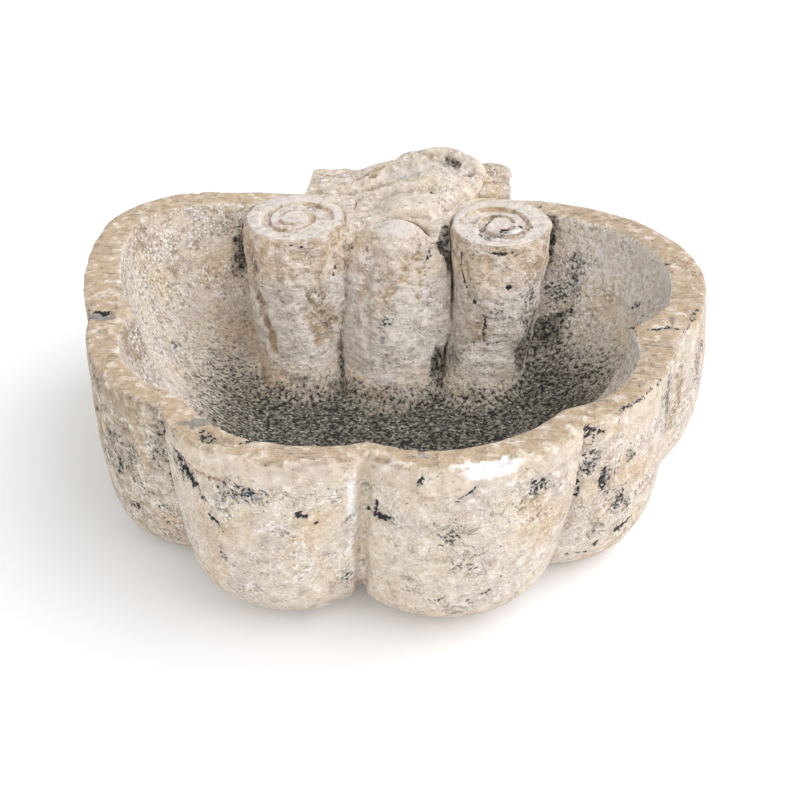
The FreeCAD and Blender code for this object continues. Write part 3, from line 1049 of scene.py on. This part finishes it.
@dataclass
class TailBlock(StonePiece):
    """The block that is built into the wall, left as it was split."""

    node: str = "tail_block"
    slot: str = "split_marble"
    finish: Marble = Marble(name="split_marble", ochre_share=0.7)
    facet: float = 1.6
    neighbours: tuple[str, ...] = (BOWL, "crest")
    edge_wear: float = 0.8
    lump_heights: tuple[float, float, float] = (1.3, 0.8, 0.3)

    def carve(self, surface: Surface) -> None:
        """Weathers the split faces."""
        surface.tone("patina", 0.42 + 0.5 * surface.patches(18.0, 55, 0.0, 0.7))


@dataclass
class Crest(StonePiece):
    """The carved mound on the block, which runs forward over the rim."""

    node: str = "crest"
    slot: str = "carved_marble"
    finish: Marble = Marble(name="worn_carved_marble", fleck_share=0.7, fleck_cluster=17.0, crystal_share=0.5,
                            powder_share=0.2)
    facet: float = 0.9
    sink: float = 3.0                # how far its border dips below the bed

    def wear_edges(self, surface: Surface) -> None:
        """Lets the mound's border run out below its bed, so that no step shows round it.

        Args:
            surface: the surface of the crest.
        """
        rise = ramp(surface.places[:, 2], RIM + 7.0, RIM)
        surface.shift(np.outer(-self.sink * rise, (0.0, 0.0, 1.0)))
        surface.relax(0.3, 4)


FRONT, SIDE, PLAN = Plane.FRONT, Plane.SIDE, Plane.PLAN

# kinds of marks, each a row of place, length, width, depth, lean and strength, and kinds of strokes
dark_mark = Mark
side_chip = partial(Mark, plane=SIDE)
top_chip = partial(Mark, plane=PLAN)
top_slate = partial(top_chip, tone=Tone.SLATE)
specks = partial(Mark, tone=Tone.SPECKS, softness=1.4)
stain = partial(Mark, tone=Tone.PATINA, softness=1.6)
grime_and_shade_mark = partial(Mark, tone=Tone.GRIME, softness=1.6)
hollow = partial(Stroke, tone=Tone.PATINA)
dark_line = partial(Stroke, tone=Tone.DARK)
painted_highlight = partial(Stroke, tone=Tone.FRESH)

BOWL_MARKS = (
    # rim
    top_slate((-160, 178, 118), 24, 8, 1.8, 8),
    top_chip((-158, 174, 118), 24, 3.4, 1.4, 12),
    top_chip((-172, 180, 118), 9, 4, 1.6, 40),
    top_slate((-152, 196, 118), 12, 5, 0.5, 60, 0.6),
    top_slate((-79, 281, 118), 14, 12, 0.8, -10, 0.8, raggedness=1, softness=1.2),
    top_chip((-72, 290, 117), 15, 11, 1.6, 25, 0.7, raggedness=0.8, softness=0.9),
    top_chip((-52, 292, 118), 15, 2.6, 0.8, -35, 0.9),
    top_slate((-41, 290, 118), 22, 3, 0.4, 5, 0.7),
    top_slate((31, 300, 117), 10, 5, 0.8, 60, 0.85),
    top_slate((38, 292, 118), 9, 5, 0.3, 20, 0.7),
    dark_mark((30, 303, 110), 14, 4, 0.6, 80, 0.6),
    top_chip((157, 172, 118), 26, 3.4, 1.4, -8, 0.9),
    top_slate((161, 163, 118), 18, 4, 0.6, 85, 0.9),
    top_chip((176, 160, 117), 14, 5, 1.4, 40, 0.8),
    top_chip((165, 205, 117), 26, 3, 0.6, -60, 0.7),
    top_slate((-140, 4, 118), 18, 5, 1.4, 0, 0.5),
    top_slate((110, 8, 118), 14, 2.6, 0.6, -5, 0.8),
    top_chip((93, 12, 118), 5, 2.6, 0.6),
    top_chip((160, 60, 118), 6, 3, 0.6, 30, 0.9),
    top_chip((168, 92, 118), 6, 2.6, 0.6, 20, 0.9),
    # outside, from left to right
    dark_mark((-150, 226, 86), 7, 3, 0.8, 70, 0.85),
    dark_mark((-135, 246, 62), 24, 6, 0.7, 75, 0.6),
    dark_mark((-129, 248, 38), 12, 7, 0.6, 20, 0.65),
    specks((-120, 257, 74), 50, 34, 0, 60, 0.55, softness=1.6),
    specks((-108, 266, 60), 60, 12, 0.4, 80, 0.5),
    # painted shade on the left lobe beside the groove, over a dent at its top
    dark_mark((-100, 272, 109), 18, 6, 2, 84, 0.9),
    grime_and_shade_mark((-106, 266, 92), 64, 12, 0, 80, 0.5),
    dark_mark((-91, 288, 104), 9, 3, 0.8, -50, 0.75),
    dark_mark((-85, 293, 97), 13, 5, 1, -55, 0.85, raggedness=0.8),
    dark_mark((-77, 298, 87), 9, 3.4, 0.9, -60, 0.75),
    specks((-72, 301, 95), 44, 15, 0.3, -30, 0.42),
    dark_mark((-70, 302, 74), 12, 4.6, 0.9, -50, 0.8, raggedness=0.8),
    dark_mark((-68, 303, 52), 9, 4, 0.7, -50, 0.6),
    dark_mark((-50, 308, 97), 11, 6, 0.7, -40, 0.66),
    specks((-36, 310, 94), 46, 9, 0.4, -14, 0.42),
    dark_mark((-27, 310, 85), 9, 5, 1.4, -20, raggedness=0, softness=0.5),
    dark_mark((-36, 310, 90), 3, 2, 0.6),
    dark_mark((-20, 308, 80), 4, 2.4, 0.6, -30, 0.85),
    dark_mark((-5, 300, 78), 8, 4, 1.2, 50, 0.9),
    dark_mark((8, 302, 86), 15, 4, 1, 84, 0.85),
    dark_mark((10, 303, 81), 15, 4, 1.2, 8),
    specks((12, 304, 87), 18, 16, 0.3, 0, 0.7),
    specks((22, 308, 97), 24, 7, 0.5, -8, 0.6, softness=1.2),
    dark_mark((48, 309, 99), 4, 2.6, 0.8, 60),
    dark_mark((53, 308, 103), 14, 1.8, 0.6, 45, 0.85),
    Mark((34, 310, 99), 26, 3.6, 0.5, 4, 0.6, tone=Tone.RUST, softness=1),
    Mark((64, 303, 118), 40, 8, 1.4, -14, plane=PLAN, tone=Tone.FRESH),
    Mark((63, 303, 113), 40, 9, 1.2, -2, 0.9, tone=Tone.FRESH),
    Mark((70, 303, 104), 40, 9, 0.2, 2, 0.5, tone=Tone.FRESH, softness=1.4),
    dark_mark((86, 291, 98), 12, 7, 0.8, -30, 0.75),
    specks((84, 294, 92), 34, 22, 0.2, -60),
    specks((47, 310, 66), 36, 20, 0.4, -40, 0.62, softness=1.6),
    dark_mark((56, 308, 57), 16, 3.2, 0.7, -35, 0.6),
    specks((42, 307, 34), 44, 16, 0.4, 8, 0.75, softness=1.6),
    dark_mark((38, 307, 33), 12, 4, 0.7, 20, 0.6),
    dark_mark((62, 304, 37), 14, 3, 0.5, 15, 0.55),
    dark_mark((114, 264, 112), 10, 8, 1.6, 60, 0.68, raggedness=0.8),
    specks((114, 262, 94), 24, 9, 0.5, 80, softness=1.2),
    dark_mark((121, 258, 78), 20, 6, 1, 80, 0.7, raggedness=0.8),
    dark_mark((131, 247, 58), 18, 7, 0.8, 75, 0.7),
    dark_mark((136, 240, 34), 15, 5, 0.9, 15, 0.9),
    dark_mark((122, 250, 30), 10, 4, 0.7, 40, 0.75),
    dark_mark((112, 256, 24), 16, 3, 0.5, 0, 0.7),
    specks((126, 250, 60), 64, 36, 0, 70, 0.8, softness=1.6),
    specks((158, 208, 92), 50, 24, 0.3, 80, plane=SIDE),
    specks((176, 150, 86), 56, 16, 0.3, 80, plane=SIDE),
    stain((172, 170, 70), 60, 9, 0.5, 84, plane=SIDE, softness=1.4),
    side_chip((182, 130, 90), 40, 5, 0.5, 84, 0.6),
    # hollow
    Mark((-134, 185, 92), 60, 26, 0, 60, 0.45, plane=SIDE, tone=Tone.DRESSED, softness=1.4),
    Mark((-128, 182, 84), 46, 20, 0, 60, 0.8, plane=SIDE, tone=Tone.ASHEN, softness=1.4),
    Mark((138, 178, 96), 60, 34, 0, 60, 0.35, plane=SIDE, tone=Tone.DRESSED, softness=1.4),
    Mark((136, 184, 94), 76, 26, -0.8, 84, 0.4, plane=SIDE, tone=Tone.FRESH, raggedness=0.2, softness=0.5),
    # painted shade in the crevices beside the outer scrolls and in the gaps between the scrolls and the rib
    grime_and_shade_mark((-105, 34, 92), 46, 16, 0, 84, 0.8, softness=1.4),
    grime_and_shade_mark((-31, 50, 104), 16, 10, 0, 0, 0.5),
    grime_and_shade_mark((31, 54, 100), 34, 10, 0, 88, 0.95, softness=1),
    grime_and_shade_mark((34, 92, 46), 30, 12, 0, 88, 0.9, softness=1.2),
    dark_mark((-104, 36, 92), 40, 7, 0, 86, 0.72),
    grime_and_shade_mark((100, 28, 98), 34, 8, 0, 84, softness=1.4),
    dark_mark((100, 30, 100), 18, 7, 0, 84, 0.75),
    dark_mark((117, 40, 88), 34, 4, 0.8, 86, 0.62),
    specks((118, 44, 84), 26, 12, 0, 80, 0.6),
    specks((104, 46, 70), 50, 26, 0, 80, 0.7, softness=1.6),
    grime_and_shade_mark((100, 68, 48), 64, 36, 0, 60, 0.8, raggedness=0.9, softness=2),
    specks((98, 72, 50), 50, 34, 0, 60, 0.7, softness=1.8),
    side_chip((150, 84, 84), 12, 3.6, 0.8, 60, 0.9),
    side_chip((140, 96, 76), 10, 3, 0.8, 60, 0.9),
)
BOWL_STROKES = (
    # a painted highlight on the lit edge beside the middle groove, painted shade along the groove on the
    # right, and its border in the band
    painted_highlight(((-3, 108), (-4, 92), (-3, 80), (-5, 62), (-5, 36)), 10, 0.25, FRONT, span=(255, 330),
         strength=0.48),
    painted_highlight(((-3, 102), (-4.5, 95), (-3.5, 86)), 8, 0, FRONT, span=(255, 330), strength=0.8),
    painted_highlight(((-5, 64), (-6, 54)), 7, 0, FRONT, span=(255, 330), strength=0.7),
    dark_line(((112, 111), (110, 98), (108, 70)), 4.4, -0.6, FRONT, span=(240, 300), strength=0.8),
    Stroke(((-93, 107), (-84, 101), (-74, 99.5), (-60, 101)), 2.6, -0.5, FRONT, span=(260, 320),
           tone=Tone.RUST, strength=0.95),
    # the chipped outer edge of the rim on the right
    dark_line(((178, 146), (173, 158), (163, 195), (154, 218), (139, 240), (124, 256)), 5, -1, span=(110, 125),
          strength=0.6),
)
LEFT_STROKES = (
    hollow(((-93, 106), (-89, 88), (-81, 74), (-74, 56)), 9, -3.2, FRONT),
    Stroke(((-89, 88), (-81, 74), (-76, 64)), 6, -0.3, FRONT, tone=Tone.GRIME, strength=0.35,
           raggedness=0.4),
    Stroke(((-48.5, 52), (-59.5, 66.5), (-72, 66), (-78, 50), (-76, 42)), 2.6, -0.7, tone=Tone.SLATE,
           strength=0.5),
    hollow(((-54, 92), (-48, 80), (-42, 74)), 3.4, -0.9, FRONT),
    hollow(((-51, 80), (-45, 70), (-46, 60)), 3, -0.9, FRONT),
    hollow(((-44, 86), (-40, 72), (-38, 62)), 3, -0.7, FRONT),
)
LEFT_MARKS = (
    Mark((-88, 75, 100), 13, 9, 0.8, -60, 0.9, tone=Tone.SLATE),
    stain((-68, 80, 104), 40, 14, 0.4, -6, 0.5),
    stain((-46, 95, 77), 38, 18, 0.9, -70, 0.9),
    grime_and_shade_mark((-45, 95, 77), 30, 12, 0, -65, 0.4, raggedness=0.9),
    Mark((-62, 95, 92), 44, 12, -1.4, -75, tone=Tone.PLAIN, softness=1.6),
    stain((-66, 56, 119), 16, 9, 0, 0, 0.6, plane=PLAN),
    dark_mark((-37, 82, 98), 9, 3, 0.8, 80, 0.9),
    dark_mark((-60, 72, 116), 9, 2, 0.7, -4, 0.7),
)
RIGHT_STROKES = (
    Stroke(((62.7, 32.3), (54.4, 49.8), (53.9, 60.3), (60.3, 68.6), (69.6, 70.9), (80.9, 62.8)), 7, -1.8,
           tone=Tone.SLATE, strength=0.6),
    dark_line(((60, 36), (54.4, 49.8), (53.9, 60.3), (60.3, 68.6)), 4, -0.8, strength=0.7),
    dark_line(((60, 115.5), (68, 114.5), (78, 115.5)), 2.6, -0.8, FRONT, strength=0.85),
    dark_line(((60, 82), (58, 72), (59, 64)), 2.2, -0.6, FRONT, strength=0.8),
    dark_line(((50, 65), (60, 64), (70, 66)), 2, -0.6, FRONT, strength=0.75),
    dark_line(((42, 112), (43, 102), (47, 92)), 2, -0.6, FRONT, strength=0.75),
)
RIGHT_MARKS = (
    top_chip((70.3, 53.5, 119), 7, 3.5, 2.2, -35),
    top_chip((80, 49, 119), 8, 2.4, 1.2, 40, 0.9),
    top_chip((86, 48, 119), 8, 2.4, 1, 40, 0.85),
    Mark((78, 56, 119), 10, 5, -0.6, -30, 0.7, plane=PLAN, tone=Tone.FRESH),
    specks((66, 62, 119), 24, 12, 0, -10, plane=PLAN),
    stain((46, 78, 104), 12, 4, 0.8, -70, softness=0.6),
    dark_mark((73, 90, 97), 4, 3, 1),
    dark_mark((52, 84, 88), 4, 3, 0.6, 0, 0.8),
    stain((58, 100, 72), 26, 16, 0.4, 80, 0.8),
    specks((86, 84, 80), 40, 10, 0.4, 80),
    grime_and_shade_mark((86, 92, 58), 44, 16, 0.4, 60, 0.75),
    stain((48, 96, 80), 50, 9, 0.8, 84, 0.6),
    # painted shade low in the valley between the scroll and the rib
    grime_and_shade_mark((42, 96, 56), 30, 14, 0.4, 85, 0.45),
)
RIB_STROKES = (
    Stroke(((-14, 108), (-17, 90), (-15, 66), (-12, 48)), 9, -1.8, FRONT),
    hollow(((9, 110), (7, 97), (-3, 90), (-6, 76)), 9, -1, FRONT, strength=0.8, raggedness=0.6),
    hollow(((14, 106), (18, 96), (16, 86)), 6, -0.7, FRONT, raggedness=0.6),
)
RIB_MARKS = (
    stain((-19, 76, 90), 34, 8, 0.6, 85, 0.7),
    stain((8, 76, 100), 26, 9, 0.6, 75, 0.6),
    dark_mark((22, 72, 104), 9, 3, 0.6, 70, 0.7),
    stain((-6, 95, 84), 36, 18, 0, 75, 0.6, softness=1.8),
    Mark((3, 90, 100), 20, 9, -0.8, 85, 0.35, tone=Tone.FRESH, softness=1.6),
    Mark((18, 92, 78), 34, 9, 0.6, 80, tone=Tone.ASHEN, softness=1.4),
    # painted shade low in the valley between the rib and the right scroll
    grime_and_shade_mark((29, 96, 44), 34, 8, 0.6, 85, 0.9, softness=1.4),
    Mark((-5, 104, 66), 5, 4, 0.8, 0, 0.7, tone=Tone.SLATE),
    Mark((-8, 112, 46), 30, 12, 0.3, 0, 0.7, tone=Tone.ASHEN, softness=1.4),
)
BLOCK_MARKS = (
    stain((60, -36, 123), 30, 34, -4.2, 0, 0.9, plane=PLAN, softness=1.4),
    top_chip((48, -6, 123), 14, 9, 2.5, 80, 0.45, softness=1.2),
    specks((64, -20, 125), 30, 20, 0.8, 20, 0.5, plane=PLAN),
    top_slate((-58, -20, 118), 18, 7, 0.8, 0, 0.6, softness=1.2),
)
CREST_STROKES = (
    hollow(((-64, -6), (-46, -18), (-20, -25), (8, -45)), 11, -3.4),
    Stroke(((-61, -2), (-42, -10), (-20, -14), (4, -28), (16, -36)), 11, 0.6),
    Stroke(((18, -36), (34, -33), (47, -22), (53, -12), (50, -2)), 10, 1.8),
    hollow(((-2, -33), (16, -31), (30, -28)), 8, 1.4, strength=0.6),
    hollow(((14, -26), (28, -25), (38, -20)), 5, -1.6, strength=0.6),
    Stroke(((-12, -14), (12, -17), (30, -21), (40, -17)), 20, -5.5, tone=Tone.ASHEN, strength=0.9),
    hollow(((20, -14), (32, -15), (42, -15)), 9, -1.5, strength=0.3),
    hollow(((-44, 0), (-22, -4), (-6, -6), (8, -8)), 8, -2.2, strength=0.8),
    Stroke(((-38, 7), (-4, 2), (22, 0), (46, 4)), 13, 2),
    hollow(((-30, 14), (0, 9), (26, 10)), 11, -1.8, strength=0.6),
)
CREST_MARKS = (
    top_chip((46, -12, 124), 7, 4, 3, 40, 0.66, raggedness=0.8),
    top_chip((-18, 0, 121), 8, 4, 1.2, 0, 0.85),
    stain((-20, -17, 126), 10, 8, 1.6, 60, plane=PLAN, softness=0.6),
    top_chip((22, 9, 119), 5, 3, 0.8, 0, 0.8),
    top_slate((10, -30, 131), 12, 5, 0.5, 40, 0.5),
    specks((30, 8, 119), 34, 12, 0.3, 0, 0.3, plane=PLAN),
)


@dataclass(frozen=True)
class SoftLight:
    """A broad distant light. Its turn is in degrees to the right of straight ahead."""

    name: str
    strength: float
    turn: float
    height: float
    spread: float
    colour: tuple[float, float, float] = (1.0, 1.0, 1.0)


@dataclass
class Studio:
    """The floor, the lights and the camera."""

    camera_distance: float = 0.597
    camera_turn: float = 3.9         # degrees to the right of straight ahead
    camera_height: float = 33.0      # degrees above the horizon
    aim: tuple[float, float, float] = (16.6, 254.2, RIM)     # x, setback and z
    lens: float = 54.0
    floor_size: float = 8.0
    floor_colour: str = "#F4F4F4"
    floor_lift: float = 0.1          # the glow that makes it as bright as the surround
    lights: tuple[SoftLight, ...] = (
        SoftLight("key", strength=1.96, turn=92.0, height=46.0, spread=70.0, colour=(1.0, 1.01, 1.07)),
        SoftLight("fill", strength=1.0, turn=0.0, height=20.0, spread=90.0),
    )
    sky_strength: float = 0.6

    def build(self) -> None:
        """Sets up the floor, the lights and the camera."""
        scene = bpy.context.scene
        scene.view_settings.view_transform = "Standard"
        self.place_camera(scene)
        self.lay_floor(scene)
        self.light(scene)

    @staticmethod
    def direction(turn: float, height: float) -> Vector:
        """Turns two angles to a direction.

        Args:
            turn: degrees to the right of straight ahead.
            height: degrees above the horizon.

        Returns:
            The unit vector that points there.
        """
        turn, height = math.radians(turn), math.radians(height)
        level = math.cos(height)
        return Vector((math.sin(turn) * level, -math.cos(turn) * level, math.sin(height)))

    def place_camera(self, scene: bpy.types.Scene) -> None:
        """Puts the camera in front and above, aimed at the near part of the bowl.

        Args:
            scene: the scene that it looks at.
        """
        data = bpy.data.cameras.new("camera")
        data.lens = self.lens
        data.sensor_width = 36.0
        camera = bpy.data.objects.new("camera", data)
        away = self.direction(self.camera_turn, self.camera_height)
        x, setback, z = self.aim
        camera.location = Vector((x, WALL_Y - setback, z)) * MM + away * self.camera_distance
        camera.rotation_euler = away.to_track_quat("Z", "Y").to_euler()
        scene.collection.objects.link(camera)
        scene.camera = camera

    def lay_floor(self, scene: bpy.types.Scene) -> None:
        """Lays a plain pale floor that keeps the stoup's shadow.

        Args:
            scene: the scene that it is laid in.
        """
        half = self.floor_size / 2
        corners = [(-half, -half, 0), (half, -half, 0), (half, half, 0), (-half, half, 0)]
        mesh = bpy.data.meshes.new("floor")
        mesh.from_pydata(corners, [], [(0, 1, 2, 3)])
        floor = bpy.data.objects.new("floor", mesh)
        scene.collection.objects.link(floor)
        material = bpy.data.materials.new("matt_white_paper")
        material.use_nodes = True
        tree = material.node_tree
        tree.nodes.clear()
        paper = add_node(tree, "ShaderNodeBsdfDiffuse", {"Color": linear(self.floor_colour)})
        seen = add_node(tree, "ShaderNodeLightPath").outputs["Is Camera Ray"]
        glow = (self.floor_lift,) * 3 + (1.0,)
        lift = add_node(tree, "ShaderNodeEmission", {"Color": glow, "Strength": seen})
        total = add_node(tree, "ShaderNodeAddShader", {0: paper.outputs[0], 1: lift.outputs[0]})
        add_node(tree, "ShaderNodeOutputMaterial", {"Surface": total.outputs[0]})
        mesh.materials.append(material)

    def light(self, scene: bpy.types.Scene) -> None:
        """Sets the soft lights and a bright plain surround.

        Args:
            scene: the scene that they light.
        """
        for light in self.lights:
            data = bpy.data.lights.new(light.name, "SUN")
            data.energy = light.strength
            data.color = light.colour
            data.angle = math.radians(light.spread)
            lamp = bpy.data.objects.new(light.name, data)
            lamp.rotation_euler = self.direction(light.turn, light.height).to_track_quat("Z", "Y").to_euler()
            scene.collection.objects.link(lamp)
        world = bpy.data.worlds.new("surround")
        world.use_nodes = True
        tree = world.node_tree
        tree.nodes.clear()
        path = add_node(tree, "ShaderNodeLightPath").outputs
        seen = path["Is Camera Ray"]
        for ray in ("Is Glossy Ray", "Is Transmission Ray"):
            seen = add_node(tree, "ShaderNodeMath", {0: seen, 1: path[ray]}, operation="MAXIMUM").outputs[0]
        glow = add_node(tree, "ShaderNodeMapRange", {"Value": seen, "To Min": self.sky_strength}).outputs[0]
        sky = add_node(tree, "ShaderNodeBackground", {"Color": (1.0, 1.0, 1.0, 1.0), "Strength": glow})
        add_node(tree, "ShaderNodeOutputWorld", {"Surface": sky.outputs[0]})
        scene.world = world


def main() -> None:
    """Builds the studio and every piece of the stoup, and logs how many faces each piece has."""
    logging.basicConfig(level=logging.INFO)
    Studio().build()
    pieces = (
        ShellBowl(marks=BOWL_MARKS, strokes=BOWL_STROKES),
        Scroll(node="scroll_left", marks=LEFT_MARKS, strokes=LEFT_STROKES, spread=(0.0, 3.0), wear=0.8),
        Scroll(node="scroll_right", marks=RIGHT_MARKS, strokes=RIGHT_STROKES),
        CentreRib(marks=RIB_MARKS, strokes=RIB_STROKES),
        TailBlock(marks=BLOCK_MARKS),
        Crest(marks=CREST_MARKS, strokes=CREST_STROKES),
    )
    for piece in pieces:
        stone = piece.build()
        log.info("%s: %d faces", stone.name, len(stone.data.polygons))


if __name__ == "__main__":
    main()
